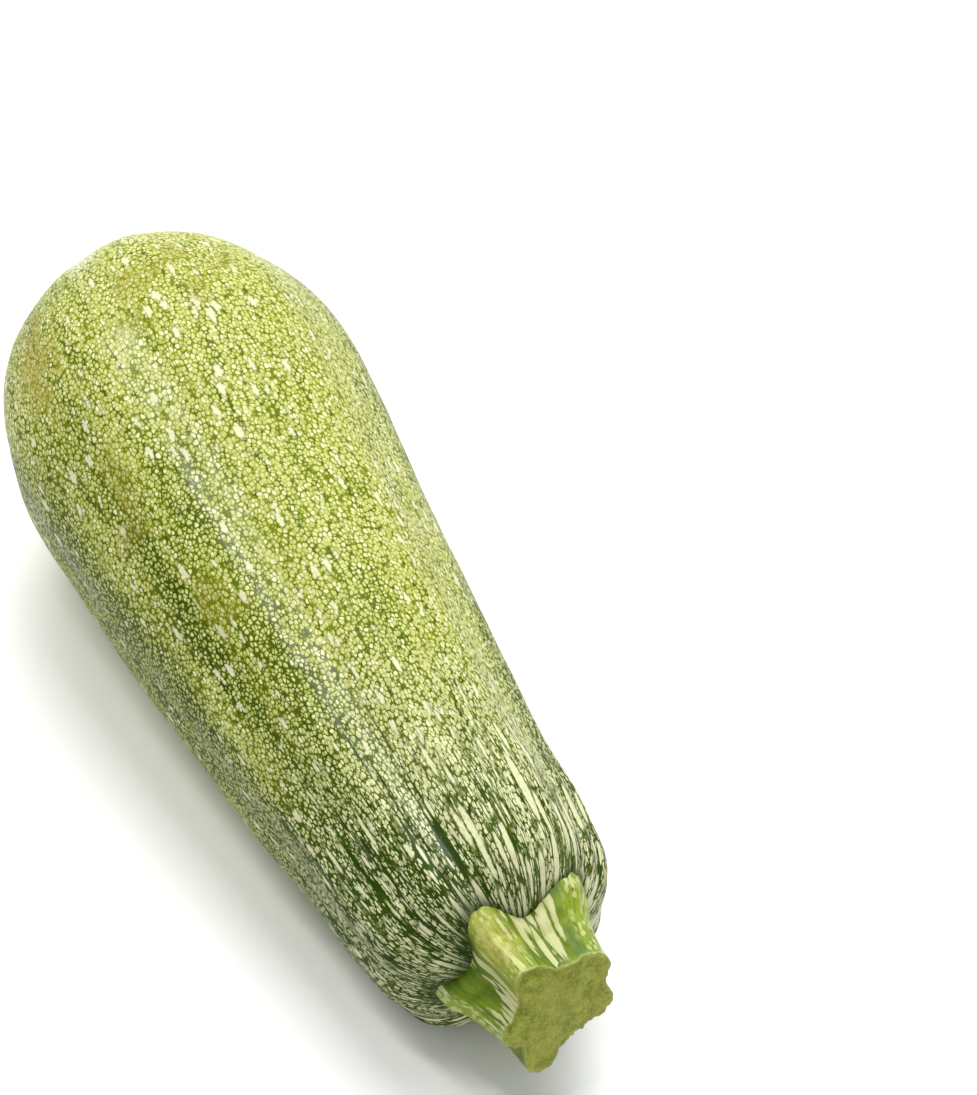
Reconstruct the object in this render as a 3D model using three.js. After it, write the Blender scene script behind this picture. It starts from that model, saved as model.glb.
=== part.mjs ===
// A hobak squash lying on its side, with the cut stub of its stem.
// Millimetres, +Z up. The fruit lies along X: blossom end towards -X, stem towards +X.
// The origin is at the middle of the whole thing's footprint, on the surface that it rests on.

import * as THREE from 'three';

// Driving dimensions of the fruit
const FRUIT_LENGTH = 165;
const GIRTH_RADIUS = 33.6;
const SHOULDER_RADIUS = 20.8;
const BLOSSOM_DOME = 42;
const BLOSSOM_ROUNDNESS = 2.25;
const SHOULDER_DOME = 13.5;
const SHOULDER_ROUNDNESS = 2.3;
const TAPER_START = 30;
const TAPER_EASE = 0.12;
const SHOULDER_SWELL = 0.4;
const SHOULDER_SWELL_AT = 144;
const SHOULDER_SWELL_LEAD = 7;
const SHOULDER_SWELL_WAVE = 5.4;
const SHOULDER_SWELL_SPREAD = 16;
const SIDEWAYS_BOW = 0.9;
const BELLY_FALL = 0.098;
const BELLY_FLAT_DEPTH = 0.6;

// Lengthwise ribs: depth at mid length, and deeper where they gather under the stem
const RIB_COUNT = 10;
const RIB_DEPTH = 0.3;
const RIB_DEPTH_AT_STEM = 0.55;
const RIB_DEEPENS_FROM = 0.55;
const RIB_DEEPEST_AT = 0.97;
const RIB_WANDER = 0.35;
const RIB_WANDER_LENGTH = 40;
const BROAD_RIB_COUNT = 5;
const BROAD_RIB_DEPTH = 0.45;
const BROAD_RIB_TURN = 0.6;
const BROAD_RIB_WANDER = 0.2;
const BROAD_RIB_WANDER_LENGTH = 30;

// The ribs fade towards the blossom end, over this share of the length and down to this share of their depth
const BLOSSOM_FADE = 0.16;
const RIB_SHARE_AT_BLOSSOM = 0.35;

// Uneven growth: a slow swell on one side, and shallow dents
const BODY_SWELL = 0.35;
const BODY_SWELL_LENGTH = 24;
const BODY_SWELL_START = 0.6;
const BODY_SWELL_SIDE = 0.9;
const DENT_DEPTH = 0.22;
const DENT_LENGTH = 11;
const DENT_START = 1.7;
const DENT_DRIFT_LENGTH = 19;

// Corky scar where the blossom fell off
const SCAR_RADIUS = 4.6;
const SCAR_RISE = 0.8;
const SCAR_EDGE_INSIDE = 0.9;
const SCAR_EDGE_OUTSIDE = 0.5;
const SCAR_LOBES = 5;
const SCAR_LOBE_SHARE = 0.12;
const SCAR_LOBE_TURN = 0.4;
const SCAR_MOAT = 0.7;
const SCAR_MOAT_OUT = 2.2;
const SCAR_MOAT_WIDTH = 2.4;

// Driving dimensions of the stem. Its foot sits a little above the middle of the shoulder.
const STEM_HEIGHT = 11;
const STEM_OFFSET_UP = 2.8;
const STEM_LEAN = 1;
const CUT_TILT_DEG = 8;
const CUT_DOME = 0.7;
const CUT_BUMP = 0.25;
const CUT_BUMP_COUNT = 3;
const CUT_BUMP_TWIST = 6;
const FLARE_POWER = 1.7;
const VALLEY_RADIUS_AT_FOOT = 9.6;
const VALLEY_RADIUS_AT_CUT = 8.3;
const LIP_HEIGHT = 2.4;
const LIP_BULGE = 0.6;
const SKIN_GAP = 0.4;

// The stem's five ridges: where each stands round the stem, how far its foot and its cut end reach,
// and how wide it is. The angle is 0 on top and grows towards +Y.
const RIDGES = [
  { angleDeg: 53, foot: 16.6, cut: 11.9, widthDeg: 25 },
  { angleDeg: -28, foot: 14.4, cut: 12.2, widthDeg: 21 },
  { angleDeg: -107, foot: 15.2, cut: 11.2, widthDeg: 20 },
  { angleDeg: -158, foot: 15.0, cut: 14.4, widthDeg: 19 },
  { angleDeg: 112, foot: 14.6, cut: 10.8, widthDeg: 21 },
];
const RIDGE_BLUNTNESS = 2.5;

// Fineness of the faceted surfaces
const FRUIT_SIDES = 64;
const BLOSSOM_RINGS = 13;
const BODY_RINGS = 14;
const SHOULDER_RINGS = 9;
const STEM_SIDES = 70;
const STEM_FOOT_RINGS = 4;
const STEM_SIDE_RINGS = 9;
const STEM_CUT_RINGS = 5;
const SCAR_RING_SHARES = [0.45, 0.8, 1.02, 1.18, 1.6];
const DOME_START_SHARE = 2.2;
const SHOULDER_RING_SPACING = 1.25;
const STEM_RING_SPACING = 1.2;
const HALVINGS = 40;

const SKIN_COLOUR = 0x8a9b55;
const STEM_COLOUR = 0x8fa045;

function clamp01(value) {
  return Math.min(1, Math.max(0, value));
}

function smooth(low, high, value) {
  const t = clamp01((value - low) / (high - low));
  return t * t * (3 - 2 * t);
}

// Radius of the plain fruit before its ends are rounded, s mm from the blossom end
function taperedRadius(s) {
  const along = clamp01((s - TAPER_START) / (FRUIT_LENGTH - TAPER_START));
  const eased = (Math.hypot(along, TAPER_EASE) - TAPER_EASE) / (Math.hypot(1, TAPER_EASE) - TAPER_EASE);
  const fromSwell = s - SHOULDER_SWELL_AT;
  const spread = Math.exp(-Math.pow((fromSwell + SHOULDER_SWELL_LEAD) / SHOULDER_SWELL_SPREAD, 2));
  const swell = SHOULDER_SWELL * Math.cos(fromSwell / SHOULDER_SWELL_WAVE) * spread;
  return GIRTH_RADIUS - (GIRTH_RADIUS - SHOULDER_RADIUS) * eased + swell;
}

// Lengthwise ribs and the slight unevenness of a grown fruit, as a height over the plain skin
function relief(s, angle) {
  const nearStem = smooth(RIB_DEEPENS_FROM, RIB_DEEPEST_AT, s / FRUIT_LENGTH);
  const fromBlossom = smooth(0, BLOSSOM_FADE, s / FRUIT_LENGTH);
  const ribDepth = RIB_DEPTH + (RIB_DEPTH_AT_STEM - RIB_DEPTH) * nearStem;
  const wander = RIB_WANDER * Math.sin(s / RIB_WANDER_LENGTH);
  const ribs = ribDepth * Math.cos(RIB_COUNT * angle + wander);
  const broadWander = BROAD_RIB_WANDER * Math.sin(s / BROAD_RIB_WANDER_LENGTH + 1);
  const broadRibs = BROAD_RIB_DEPTH * Math.cos(BROAD_RIB_COUNT * angle - BROAD_RIB_TURN + broadWander);
  const swellAlong = Math.sin(s / BODY_SWELL_LENGTH + BODY_SWELL_START);
  const swell = BODY_SWELL * swellAlong * Math.cos(angle - BODY_SWELL_SIDE);
  const dentsAlong = Math.sin(s / DENT_LENGTH + 2 * angle + DENT_START);
  const dents = DENT_DEPTH * dentsAlong * Math.cos(3 * angle - s / DENT_DRIFT_LENGTH);
  const ribShare = RIB_SHARE_AT_BLOSSOM + (1 - RIB_SHARE_AT_BLOSSOM) * fromBlossom;
  return (ribs + broadRibs) * ribShare + (swell + dents) * fromBlossom;
}

// Height of the fruit's own axis over the surface: it falls towards the slimmer stem end,
// so that the belly lies level
function axisHeight(s) {
  return GIRTH_RADIUS - BELLY_FALL * (s - BLOSSOM_DOME) - BELLY_FLAT_DEPTH;
}

function axisSideways(s) {
  const fromMiddle = 2 * s / FRUIT_LENGTH - 1;
  return SIDEWAYS_BOW * fromMiddle * fromMiddle;
}

// One point of the skin. The station runs from 0 at the blossom end's pole, through 1 at the end
// of its dome and 2 at the start of the shoulder, to 3 at the pole under the stem.
function skinStation(station) {
  const domeEnd = FRUIT_LENGTH - SHOULDER_DOME;
  if (station <= 1) {
    const turn = station * Math.PI / 2;
    const power = 2 / BLOSSOM_ROUNDNESS;
    const s = BLOSSOM_DOME * (1 - Math.pow(Math.max(0, Math.cos(turn)), power));
    return { s, radius: taperedRadius(s) * Math.pow(Math.sin(turn), power) };
  }
  if (station <= 2) {
    const s = BLOSSOM_DOME + (domeEnd - BLOSSOM_DOME) * (station - 1);
    return { s, radius: taperedRadius(s) };
  }
  const turn = (station - 2) * Math.PI / 2;
  const power = 2 / SHOULDER_ROUNDNESS;
  const s = domeEnd + SHOULDER_DOME * Math.pow(Math.sin(turn), power);
  return { s, radius: taperedRadius(s) * Math.pow(Math.max(0, Math.cos(turn)), power) };
}

function skinPoint(station, angle) {
  const { s, radius } = skinStation(station);
  const girthShare = clamp01(radius / (0.5 * SHOULDER_RADIUS));
  const full = radius + relief(s, angle) * girthShare;
  let along = s;
  if (station < 1) {
    const scar = 1 - smooth(SCAR_RADIUS - SCAR_EDGE_INSIDE, SCAR_RADIUS + SCAR_EDGE_OUTSIDE, radius);
    const moat = Math.exp(-Math.pow((radius - SCAR_RADIUS - SCAR_MOAT_OUT) / SCAR_MOAT_WIDTH, 2));
    const lobes = 1 + SCAR_LOBE_SHARE * Math.cos(SCAR_LOBES * angle + SCAR_LOBE_TURN);
    along += SCAR_MOAT * moat - SCAR_RISE * scar * lobes;
  }
  const y = axisSideways(s) + full * Math.sin(angle);
  const z = axisHeight(s) + full * Math.cos(angle);
  return new THREE.Vector3(along, y, Math.max(0, z));
}

// Closed surface over a stack of rings, from one pole to the other. The rings turn so that
// the first pole looks towards -X.
function closedOverRings(firstPole, rings, lastPole) {
  const sides = rings[0].length;
  const positions = [firstPole, ...rings.flat(), lastPole].flatMap((point) => point.toArray());
  const lastIndex = positions.length / 3 - 1;
  const faces = [];
  const at = (ring, side) => 1 + ring * sides + (side % sides);
  for (let side = 0; side < sides; side += 1) {
    faces.push(0, at(0, side), at(0, side + 1));
    for (let ring = 0; ring + 1 < rings.length; ring += 1) {
      const a = at(ring, side);
      const b = at(ring, side + 1);
      const c = at(ring + 1, side + 1);
      const d = at(ring + 1, side);
      faces.push(a, d, c, a, c, b);
    }
    faces.push(lastIndex, at(rings.length - 1, side + 1), at(rings.length - 1, side));
  }
  const geometry = new THREE.BufferGeometry();
  geometry.setAttribute('position', new THREE.Float32BufferAttribute(positions, 3));
  geometry.setIndex(faces);
  geometry.computeVertexNormals();
  return geometry;
}

function ringOf(sides, pointAt) {
  return Array.from({ length: sides }, (_, side) => pointAt(2 * Math.PI * side / sides));
}

// Stations of the fruit's rings: close together over the scar, where the skin turns sharply
function fruitStations() {
  const scarShare = Math.pow(SCAR_RADIUS / GIRTH_RADIUS, BLOSSOM_ROUNDNESS / 2);
  const scarEdge = Math.asin(scarShare) / (Math.PI / 2);
  const stations = SCAR_RING_SHARES.map((share) => share * scarEdge);
  const domeStart = DOME_START_SHARE * scarEdge;
  for (let i = 0; i < BLOSSOM_RINGS; i += 1) {
    stations.push(domeStart + (1 - domeStart) * i / BLOSSOM_RINGS);
  }
  for (let i = 0; i < BODY_RINGS; i += 1) {
    stations.push(1 + i / BODY_RINGS);
  }
  for (let i = 0; i < SHOULDER_RINGS; i += 1) {
    stations.push(2 + Math.pow(i / SHOULDER_RINGS, SHOULDER_RING_SPACING));
  }
  return stations;
}

function makeFruit() {
  const rings = fruitStations().map((station) => ringOf(FRUIT_SIDES, (angle) => skinPoint(station, angle)));
  return closedOverRings(skinPoint(0, 0), rings, skinPoint(3, 0));
}

// Where the skin of the shoulder is, at a distance from the axis
function shoulderPoint(reach, angle) {
  let outer = 2;
  let inner = 3;
  for (let step = 0; step < HALVINGS; step += 1) {
    const middle = (outer + inner) / 2;
    const { s } = skinStation(middle);
    const point = skinPoint(middle, angle);
    if (Math.hypot(point.y - axisSideways(s), point.z - axisHeight(s)) > reach) {
      outer = middle;
    } else {
      inner = middle;
    }
  }
  return skinPoint((outer + inner) / 2, angle);
}

// Where the skin is under the stem, at a distance and an angle round the stem's own middle
function skinUnderStem(reach, angle) {
  const y = reach * Math.sin(angle);
  const up = STEM_OFFSET_UP + reach * Math.cos(angle);
  return shoulderPoint(Math.hypot(y, up), Math.atan2(y, up));
}

// How far the stem reaches from its middle at its foot or at its cut: valleys with round ridges
function lobedRadius(angle, valley, end) {
  return RIDGES.reduce((radius, ridge) => {
    const turn = angle - THREE.MathUtils.degToRad(ridge.angleDeg);
    const away = Math.atan2(Math.sin(turn), Math.cos(turn));
    const width = THREE.MathUtils.degToRad(ridge.widthDeg);
    return radius + (ridge[end] - valley) * Math.exp(-Math.pow(Math.abs(away) / width, RIDGE_BLUNTNESS));
  }, valley);
}

// A point on the side of the stem: up is 0 at the skin and 1 at the cut
function stemSidePoint(up, angle) {
  const footReach = lobedRadius(angle, VALLEY_RADIUS_AT_FOOT, 'foot');
  const cutReach = lobedRadius(angle, VALLEY_RADIUS_AT_CUT, 'cut');
  const foot = skinUnderStem(footReach, angle);
  const flare = Math.pow(1 - up, FLARE_POWER);
  const lipUp = LIP_HEIGHT / STEM_HEIGHT;
  const lip = LIP_BULGE * Math.sin(Math.PI * clamp01(up / (2 * lipUp)));
  const reach = cutReach + (footReach - cutReach) * flare + lip;
  const tilt = Math.tan(THREE.MathUtils.degToRad(CUT_TILT_DEG)) * cutReach * Math.cos(angle);
  const footX = foot.x + SKIN_GAP;
  const cutX = FRUIT_LENGTH + STEM_HEIGHT - tilt;
  const x = footX + (cutX - footX) * up;
  return stemPoint(x, reach, angle);
}

// The stem leans towards +Y as it rises from the shoulder
function stemPoint(x, reach, angle) {
  const risen = Math.max(0, x - FRUIT_LENGTH) / STEM_HEIGHT;
  const y = axisSideways(FRUIT_LENGTH) + STEM_LEAN * risen + reach * Math.sin(angle);
  const z = axisHeight(FRUIT_LENGTH) + STEM_OFFSET_UP + reach * Math.cos(angle);
  return new THREE.Vector3(x, y, z);
}

// A point on the cut face: in is 0 at its edge and 1 at its middle
function stemCutPoint(inward, angle) {
  const edge = stemSidePoint(1, angle);
  const middle = stemPoint(FRUIT_LENGTH + STEM_HEIGHT, 0, 0);
  const point = edge.clone().lerp(middle, inward);
  const fade = (1 - inward) * Math.min(1, CUT_BUMP_TWIST * inward);
  const bumps = CUT_BUMP * Math.sin(CUT_BUMP_COUNT * angle + CUT_BUMP_TWIST * inward) * fade;
  point.x += CUT_DOME * (1 - Math.pow(1 - inward, 2)) + bumps;
  return point;
}

function makeStem() {
  const rings = [];
  for (let i = 1; i <= STEM_FOOT_RINGS; i += 1) {
    const share = i / (STEM_FOOT_RINGS + 1);
    rings.push(ringOf(STEM_SIDES, (angle) => {
      const reach = share * lobedRadius(angle, VALLEY_RADIUS_AT_FOOT, 'foot');
      const skin = skinUnderStem(reach, angle);
      return stemPoint(skin.x + SKIN_GAP, reach, angle);
    }));
  }
  for (let i = 0; i <= STEM_SIDE_RINGS; i += 1) {
    const up = Math.pow(i / STEM_SIDE_RINGS, STEM_RING_SPACING);
    rings.push(ringOf(STEM_SIDES, (angle) => stemSidePoint(up, angle)));
  }
  for (let i = 1; i <= STEM_CUT_RINGS; i += 1) {
    const inward = Math.pow(i / (STEM_CUT_RINGS + 1), STEM_RING_SPACING);
    rings.push(ringOf(STEM_SIDES, (angle) => stemCutPoint(inward, angle)));
  }
  const footMiddle = stemPoint(skinUnderStem(0, 0).x + SKIN_GAP, 0, 0);
  return closedOverRings(footMiddle, rings, stemCutPoint(1, 0));
}

const skinMaterial = new THREE.MeshStandardMaterial({ color: SKIN_COLOUR, roughness: 0.42, metalness: 0 });
const stemMaterial = new THREE.MeshStandardMaterial({ color: STEM_COLOUR, roughness: 0.55, metalness: 0 });

const fruit = new THREE.Mesh(makeFruit(), skinMaterial);
fruit.name = 'fruit';

const stem = new THREE.Mesh(makeStem(), stemMaterial);
stem.name = 'stem';

const squash = new THREE.Group();
squash.add(fruit, stem);

// Put the origin at the middle of the footprint
const box = new THREE.Box3().setFromObject(squash);
const middle = box.getCenter(new THREE.Vector3());
for (const piece of squash.children) {
  piece.geometry.translate(-middle.x, -middle.y, -box.min.z);
}

export default squash;
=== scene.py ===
"""A hobak squash on a pale table: fine skin and stem meshes, their materials, light and camera.

The fruit lies along X, blossom end towards -X and cut stem towards +X. Surfaces are worked out in
millimetres from the blossom end, as the solids of the frame are, and then moved to the solids' place
in metres. Angles round the fruit and round the stem are 0 on top and grow towards +Y. They are in
radians, but for values whose names end in deg.
"""
import math

import bpy
import numpy as np
from mathutils import Matrix, Vector


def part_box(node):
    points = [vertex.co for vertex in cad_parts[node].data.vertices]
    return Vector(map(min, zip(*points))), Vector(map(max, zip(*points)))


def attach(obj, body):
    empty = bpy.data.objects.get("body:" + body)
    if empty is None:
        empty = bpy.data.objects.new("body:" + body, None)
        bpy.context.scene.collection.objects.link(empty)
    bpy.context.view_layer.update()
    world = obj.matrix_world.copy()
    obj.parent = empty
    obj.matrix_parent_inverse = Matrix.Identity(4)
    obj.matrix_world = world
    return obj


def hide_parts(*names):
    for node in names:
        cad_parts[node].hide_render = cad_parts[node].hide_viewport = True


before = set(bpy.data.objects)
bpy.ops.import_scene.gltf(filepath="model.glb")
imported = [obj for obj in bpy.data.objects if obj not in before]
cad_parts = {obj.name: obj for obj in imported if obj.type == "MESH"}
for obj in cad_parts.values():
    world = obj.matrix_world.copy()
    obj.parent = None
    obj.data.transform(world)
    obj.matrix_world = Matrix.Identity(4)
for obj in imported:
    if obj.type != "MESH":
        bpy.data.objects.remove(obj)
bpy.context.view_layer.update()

MM = 0.001

# Driving dimensions of the fruit, in millimetres
FRUIT_LENGTH = 165
GIRTH_RADIUS = 33.6
SHOULDER_RADIUS = 20.8
BLOSSOM_DOME = 42
BLOSSOM_ROUNDNESS = 2.25
SHOULDER_DOME = 13.5
SHOULDER_ROUNDNESS = 2.3
TAPER_START = 30
TAPER_EASE = 0.12
SHOULDER_SWELL = 0.4
SHOULDER_SWELL_AT = 144
SHOULDER_SWELL_LEAD = 7
SHOULDER_SWELL_WAVE = 5.4
SHOULDER_SWELL_SPREAD = 16
SIDEWAYS_BOW = 0.9
BELLY_FALL = 0.098
BELLY_FLAT_DEPTH = 0.6
RELIEF_FADE_RADIUS = 0.5 * SHOULDER_RADIUS

# Lengthwise ribs: depth at mid length, and deeper where they gather under the stem
RIB_COUNT = 10
RIB_DEPTH = 0.3
RIB_DEPTH_AT_STEM = 0.55
RIB_DEEPENS_FROM = 0.55
RIB_DEEPEST_AT = 0.97
RIB_WANDER = 0.35
RIB_WANDER_LENGTH = 40
BROAD_RIB_COUNT = 5
BROAD_RIB_DEPTH = 0.45
BROAD_RIB_TURN = 0.6
BROAD_RIB_WANDER = 0.2
BROAD_RIB_WANDER_LENGTH = 30
BLOSSOM_FADE = 0.16
RIB_SHARE_AT_BLOSSOM = 0.35

# Uneven growth: a slow swell on one side, and shallow dents
BODY_SWELL = 0.35
BODY_SWELL_LENGTH = 24
BODY_SWELL_START = 0.6
BODY_SWELL_SIDE = 0.9
DENT_DEPTH = 0.22
DENT_LENGTH = 11
DENT_START = 1.7
DENT_DRIFT_LENGTH = 19

# Grooves too fine for the solids: count round the fruit, depth, wander, length of the wander, its start
FINE_GROOVES = (
    (31, 0.05, 1.3, 17, 0),
    (47, 0.04, 2, 23, 2),
)
GROOVES_DEEPEN_FROM = 0.7
GROOVES_DEEPEST_AT = 0.95
GROOVE_SHARE = 0.5
GROOVE_SHARE_GAIN = 2.4

# Waves as fine, crossing each other: their length, negative where they twist the other way, and count
FINE_WAVE_DEPTH = 0.05
FINE_WAVES = (
    (3.1, 7),
    (-5.3, 9),
)

# Corky scar where the blossom fell off. Roughness: count round the scar, depth, twist per mm outwards.
SCAR_RADIUS = 4.6
SCAR_RISE = 0.8
SCAR_EDGE_INSIDE = 0.9
SCAR_EDGE_OUTSIDE = 0.5
SCAR_LOBES = 5
SCAR_LOBE_SHARE = 0.12
SCAR_LOBE_TURN = 0.4
SCAR_MOAT = 0.7
SCAR_MOAT_OUT = 2.2
SCAR_MOAT_WIDTH = 2.4
SCAR_ROUGHNESS = (
    (5, 0.14, 2.1),
    (11, 0.1, -3.7),
)
SCAR_SMOOTH_MIDDLE = 1.2
CORK_EDGE_INSIDE = 0.6
CORK_EDGE_OUTSIDE = 0.3

# Driving dimensions of the stem, in millimetres
STEM_HEIGHT = 11
STEM_OFFSET_UP = 2.8
STEM_LEAN = 1
CUT_TILT_DEG = 8
CUT_DOME = 0.7
FLARE_POWER = 1.7
VALLEY_RADIUS_AT_FOOT = 9.6
VALLEY_RADIUS_AT_CUT = 8.3
LIP_HEIGHT = 2.4
LIP_BULGE = 0.6
FOOT_SUNK = 0.25

# The stem's five ridges: where each stands, how far its foot and its cut end reach, and how wide it is
RIDGES = (
    {"deg": 53, "foot": 16.6, "cut": 11.9, "width_deg": 25},
    {"deg": -28, "foot": 14.4, "cut": 12.2, "width_deg": 21},
    {"deg": -107, "foot": 15.2, "cut": 11.2, "width_deg": 20},
    {"deg": -158, "foot": 15.0, "cut": 14.4, "width_deg": 19},
    {"deg": 112, "foot": 14.6, "cut": 10.8, "width_deg": 21},
)
RIDGE_BLUNTNESS = 2.5

# Flutes up the stem and the torn edge of its cut, as waves: count round the stem, height, start
STEM_FLUTES = (
    (23, 0.16, 0.8),
    (37, 0.112, 2),
)
TORN_EDGE = (
    (17, 0.14, 1),
    (29, 0.11, 0.3),
    (53, 0.08, 0),
)
TORN_FADE_POWER = 14

# The cut face: bumps as count, height, twist inwards and start, grit as the counts and twists of two
# waves that cross, and a groove inside the rim
CUT_BUMPS = (
    (3, 0.25, 6, 0),
    (7, 0.16, -9, 1),
)
CUT_BUMP_RAMP = 6
GRIT_HEIGHT = 0.08
GRIT_WAVES = (
    (19, 31),
    (13, -23),
)
RIM_GROOVE_DEPTH = 0.25
RIM_GROOVE_AT = 0.07
RIM_GROOVE_WIDTH = 0.05

# Fineness of the meshes. The scar's rings reach a little past as far again as the scar's edge. On the
# shoulder the rings draw together towards the body. The last three are for searches over the skin.
FRUIT_SIDES = 320
SCAR_RINGS = 18
BLOSSOM_RINGS = 61
BODY_RINGS = 148
SHOULDER_RINGS = 53
SCAR_ZONE = 2.2
SHOULDER_RING_POWER = 1.1
STEM_SIDES = 300
STEM_FOOT_RINGS = 12
STEM_SIDE_RINGS = 80
STEM_CUT_RINGS = 60
HALVINGS = 36
BOX_STATIONS = 400
BOX_SIDES = 256

# How the pattern lies on the skin. The girdle is a round tube of one radius, on which long marks run
# straight towards the stem. The fine cells lie on the real skin, are stretched lengthwise, and get
# narrower towards the stem, because from a station on their tube's radius is held.
GIRDLE_RADIUS = 28
HELD_FROM_STATION = 1.45
CELL_STRETCH = 1.35
CELL_STRETCH_GAIN = 0.45
CELL_NARROWING = 0.3
STRETCH_FROM = 105
NARROWING_FROM = 95
STRETCH_FULL_AT = 160

# Depth of the middle of the stem's underside, in the stem's pattern
UNDERSIDE_DEPTH = 3

# Where the skin is darker or lighter, partly its own bands and partly painted shade and painted
# light with a painted sheen: distance from the blossom end and angle round the fruit of the middle
# (mm, degrees), half length in mm, half width in degrees, strength, negative where it is lighter
BANDS_AND_PAINTED_SHADING = (
    (70, 30, 60, 30, -1.0),
    (138, 5, 12, 30, -0.6),
    (30, -30, 30, 40, -0.35),
    (55, -11, 45, 5, -0.6),
    (50, -14, 14, 10, -0.5),
    (54, -38, 14, 10, -0.5),
    (113, -25, 18, 7, 0.5),
    (105, -75, 60, 40, 0.6),
    (138, -12, 9, 8, -0.7),
    (154, -31, 9, 9, 1.0),
    (152, -85, 22, 45, 0.8),
    (45, -59, 26, 5, 0.3),
    (110, -27, 45, 3, 0.15),
    (120, -105, 60, 10, 0.5),
    (60, -100, 40, 9, 0.4),
    (110, 70, 40, 12, 0.7),
    (105, 150, 60, 10, 0.5),
    (70, 105, 50, 8, 0.4),
    (40, 75, 30, 7, 0.5),
)
OLIVE_AREAS = (
    (28, 4, 9, 14, 0.8),
    (32, -15, 8, 8, 0.8),
    (92, -40, 14, 9, 1.0),
    (62, -48, 12, 8, 0.6),
    (70, 95, 16, 14, 0.8),
)
SCUFFED_AREAS = (
    (24, -52, 16, 14, 1.05),
    (100, 160, 12, 12, 0.8),
)

# Painted shade on the skin round the stem's foot, broader on one side
FOOT_SHADE_WIDTH = 1.3
FOOT_SHADE_BROADER = 4
FOOT_SHADE_BROAD_AT_DEG = -65
FOOT_SHADE_BROAD_DEG = 50

# Crests of the broad ribs, where the skin is rubbed smooth, and the ridge of the stem that is worn
CREST_STARTS_AT = 0.72
POLISHED_CREST_DEG = -22
POLISHED_WIDTH_DEG = 30
OTHER_CRESTS_POLISH = 0.1
WORN_RIDGE_DEG = -30
WORN_WIDTH_DEG = 15
WORN_MIDDLE = 0.45
WORN_HALF_LENGTH = 0.4

# Spacings of the patterns, in millimetres
BAND_SPACING = 8
CELL_SPACING = 0.72
NET_WIDTH_SPACING = 1.2
THREAD_SPACING = 1.5
FLECK_SPACING = 2.0
BROAD_STREAK_SPACING = 1.9
THIN_STREAK_SPACING = 1.0
RAGGED_SPACING = 0.7
PATCH_SPACING = 7
SCUFF_SPACING = 2.4
CORK_SPACING = 0.9
DENT_SPACING = 3.4
PIT_SPACING = 0.5
WEAR_SPACING = 5
RUBBED_SPACING = 2.6
STREAK_TONE_SPACING = 0.6
STEM_TONE_SPACING = 4.5
STEM_LINE_SPACING = 0.7
STEM_STREAK_SPACING = 1.1
STEM_RAGGED_SPACING = 0.5
STEM_NET_SPACING = 0.8
STEM_SCUFF_SPACING = 3.2
STEM_SCUFF_GRAIN_SPACING = 0.8
STEM_FIBRE_SPACING = 0.7
CUT_GRAIN_SPACING = 2.4
CUT_CLOUD_SPACING = 4.4
CUT_SPECKLE_SPACING = 0.5
CUT_SPOT_SPACING = 0.8

# Dark lines under the stem, in two layers: spacing, and the share of the length that is kept
DARK_LINES = (
    (3.2, 0.035),
    (1.9, 0.045),
)

# Shares of the fruit's length over which the streaks set in
NEAR_STEM = (0.58, 0.86)
CLOSE_TO_STEM = (0.8, 0.93)

# Colours of the skin, as 0 to 255 screen values
CREAM = (220, 218, 178)
STREAK_CREAM = (212, 212, 176)
PALE_CELL = (192, 194, 128)
LIME_CELL = (158, 162, 62)
# Green cells, also painted shade on the cells
GREEN_CELL_AND_SHADE = (150, 164, 88)
BRIGHT_NET = (98, 115, 8)
DEEP_NET = (46, 66, 4)
STEM_END_NET = (48, 70, 2)
# Also the colour of the painted shade round the stem's foot
DARK_LINE_AND_SHADE = (36, 58, 3)
OLIVE_PATCH = (128, 122, 26)
SCUFF = (150, 138, 42)
CORK = (196, 160, 122)
DARK_CORK = (146, 108, 72)

# Colours of the stem's sides
STEM_GREEN = (76, 105, 4)
STEM_LIME = (116, 135, 22)
# Painted shade at the stem's foot
STEM_FOOT_SHADE = (64, 96, 12)
STEM_CREST = (146, 162, 50)
# Painted shade in the stem's valleys
STEM_VALLEY_SHADE = (70, 96, 6)
STEM_DARK_LINE = (56, 84, 6)
STEM_STREAK = (200, 199, 146)
STEM_NET = (196, 200, 130)
STEM_WORN_BROWN = (150, 122, 34)
STEM_WORN_PALE = (186, 184, 92)

# Colours of the stem's cut face
CUT_OLIVE = (118, 129, 22)
CUT_PALE_OLIVE = (154, 160, 56)
CUT_GREEN_EDGE = (96, 118, 12)
CUT_CLOUD = (160, 154, 60)
CUT_MIDDLE = (150, 150, 70)
CUT_PALE_SPECKLE = (180, 184, 104)
CUT_DARK_SPECKLE = (92, 98, 14)
CUT_SPOT = (116, 96, 24)
CUT_RIM = (186, 188, 112)

# Relief of the materials, in millimetres
SKIN_BUMP = 0.1
STEM_BUMP = 0.35

# The camera, as found from the photograph's outline of the fruit
CAMERA_TURN_DEG = -27.73
CAMERA_RISE_DEG = 48
CAMERA_DISTANCE = 0.95
CAMERA_TARGET = Vector((-0.0286, 0.0493, 0))
PHOTO_SIZE = (977, 1095)
FOCAL_PIXELS = 5053
SENSOR_HEIGHT_MM = 24

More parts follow.
